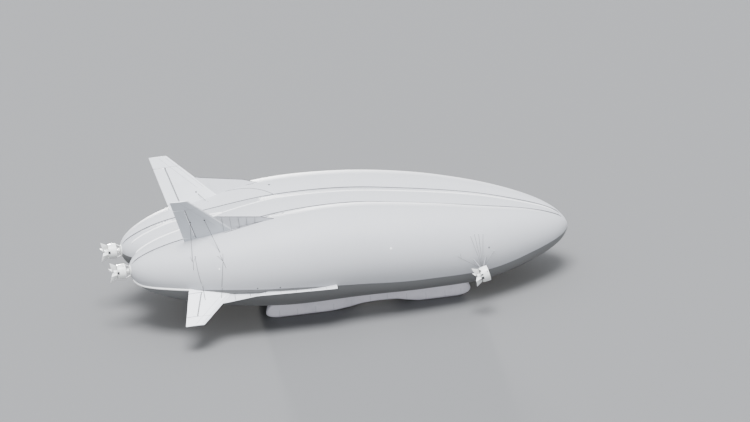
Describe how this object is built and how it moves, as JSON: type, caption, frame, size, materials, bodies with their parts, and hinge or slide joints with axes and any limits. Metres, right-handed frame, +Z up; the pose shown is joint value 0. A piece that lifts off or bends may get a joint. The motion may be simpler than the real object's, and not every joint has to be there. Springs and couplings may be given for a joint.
{
  "type": "hybrid airship, one tenth scale model",
  "caption": "Three-lobed hybrid airship with canted tail fins, ducted propulsors that tilt forward, inflatable landing skids and a keel cabin, one tenth scale.",
  "frame": {"origin": "bottom centre of the whole model, on the floor that the two landing skids rest on", "axes": "+X to the nose, +Y to port, +Z up"},
  "size_m": [9.2, 4.35, 2.8429],
  "materials": {
    "envelope_fabric": "light grey laminate fabric, semi matt",
    "fin_skin": "off-white satin composite skin",
    "strake_fabric": "light grey fabric over battens",
    "skid_fabric": "grey coated fabric, matt",
    "propulsor_shell": "white gloss paint",
    "vane_skin": "white satin paint",
    "engine_block": "dark cast metal",
    "propeller_blade": "black carbon composite",
    "mount_tube": "dark carbon composite tube",
    "cabin_panel": "white satin panels",
    "glazing": "tinted clear",
    "seat_trim": "dark trim"
  },
  "bodies": {
    "hull": {"envelope": "envelope_fabric", "landing_skid_left": "skid_fabric", "landing_skid_right": "skid_fabric", "fin_upper_left": "fin_skin", "strake_upper_left": "strake_fabric", "fin_upper_right": "fin_skin", "strake_upper_right": "strake_fabric", "fin_lower_left": "fin_skin", "strake_lower_left": "strake_fabric", "fin_lower_right": "fin_skin", "strake_lower_right": "strake_fabric", "mount_stern_left": "propulsor_shell", "duct_stern_left": "propulsor_shell", "nacelle_stern_left": "propulsor_shell", "engine_stern_left": "engine_block", "exhaust_vanes_stern_left": "vane_skin", "mount_forward_left": "mount_tube", "mount_stern_right": "propulsor_shell", "duct_stern_right": "propulsor_shell", "nacelle_stern_right": "propulsor_shell", "engine_stern_right": "engine_block", "exhaust_vanes_stern_right": "vane_skin", "mount_forward_right": "mount_tube", "payload_module": "cabin_panel", "fuel_module": "cabin_panel", "cabin_shell": "cabin_panel", "cabin_glazing": "glazing", "cabin_interior": "seat_trim"},
    "control_upper_left": {"control_surface_upper_left": "fin_skin"},
    "control_upper_right": {"control_surface_upper_right": "fin_skin"},
    "control_lower_left": {"control_surface_lower_left": "fin_skin"},
    "control_lower_right": {"control_surface_lower_right": "fin_skin"},
    "propeller_stern_left": {"propeller_stern_left": "propeller_blade"},
    "propulsor_forward_left": {"duct_forward_left": "propulsor_shell", "nacelle_forward_left": "propulsor_shell", "engine_forward_left": "engine_block", "exhaust_vanes_forward_left": "vane_skin"},
    "propeller_forward_left": {"propeller_forward_left": "propeller_blade"},
    "door_left": {"cabin_door_left": "cabin_panel"},
    "propeller_stern_right": {"propeller_stern_right": "propeller_blade"},
    "propulsor_forward_right": {"duct_forward_right": "propulsor_shell", "nacelle_forward_right": "propulsor_shell", "engine_forward_right": "engine_block", "exhaust_vanes_forward_right": "vane_skin"},
    "propeller_forward_right": {"propeller_forward_right": "propeller_blade"},
    "door_right": {"cabin_door_right": "cabin_panel"}
  },
  "joints": [
    {"name": "upper_left_control_hinge", "type": "hinge", "parent": "hull", "child": "control_upper_left", "pos_m": [-3.053, 0.98421, 2.27346], "axis": [-0.295, 0.3096, 0.9039], "range_deg": [-20, 20]},
    {"name": "upper_right_control_hinge", "type": "hinge", "parent": "hull", "child": "control_upper_right", "pos_m": [-3.053, -0.98421, 2.27346], "axis": [-0.295, -0.3096, 0.9039], "range_deg": [-20, 20]},
    {"name": "lower_left_control_hinge", "type": "hinge", "parent": "hull", "child": "control_lower_left", "pos_m": [-3.0725, 1.71592, 0.86516], "axis": [-0.3084, 0.7822, -0.5414], "range_deg": [-20, 20]},
    {"name": "lower_right_control_hinge", "type": "hinge", "parent": "hull", "child": "control_lower_right", "pos_m": [-3.0725, -1.71592, 0.86516], "axis": [-0.3084, -0.7822, -0.5414], "range_deg": [-20, 20]},
    {"name": "stern_left_propeller_spin", "type": "hinge", "parent": "hull", "child": "propeller_stern_left", "pos_m": [-4.38, 0.525, 1.24], "axis": [1, 0, 0], "continuous": true},
    {"name": "forward_left_tilt", "type": "hinge", "parent": "hull", "child": "propulsor_forward_left", "pos_m": [2.55, 1.97, 0.89], "axis": [0, -1, 0], "range_deg": [-33.5, 6.5]},
    {"name": "forward_left_propeller_spin", "type": "hinge", "parent": "propulsor_forward_left", "child": "propeller_forward_left", "pos_m": [2.55, 1.97, 0.89], "axis": [0.9724, 0, 0.2334], "continuous": true},
    {"name": "left_door_hinge", "type": "hinge", "parent": "hull", "child": "door_left", "pos_m": [2.116, 0.162, 0.186], "axis": [0, 0, -1], "range_deg": [0, 100]},
    {"name": "stern_right_propeller_spin", "type": "hinge", "parent": "hull", "child": "propeller_stern_right", "pos_m": [-4.38, -0.525, 1.24], "axis": [1, 0, 0], "continuous": true},
    {"name": "forward_right_tilt", "type": "hinge", "parent": "hull", "child": "propulsor_forward_right", "pos_m": [2.55, -1.97, 0.89], "axis": [0, -1, 0], "range_deg": [-33.5, 6.5]},
    {"name": "forward_right_propeller_spin", "type": "hinge", "parent": "propulsor_forward_right", "child": "propeller_forward_right", "pos_m": [2.55, -1.97, 0.89], "axis": [0.9724, 0, 0.2334], "continuous": true},
    {"name": "right_door_hinge", "type": "hinge", "parent": "hull", "child": "door_right", "pos_m": [2.116, -0.162, 0.186], "axis": [0, 0, 1], "range_deg": [0, 100]}
  ]
}
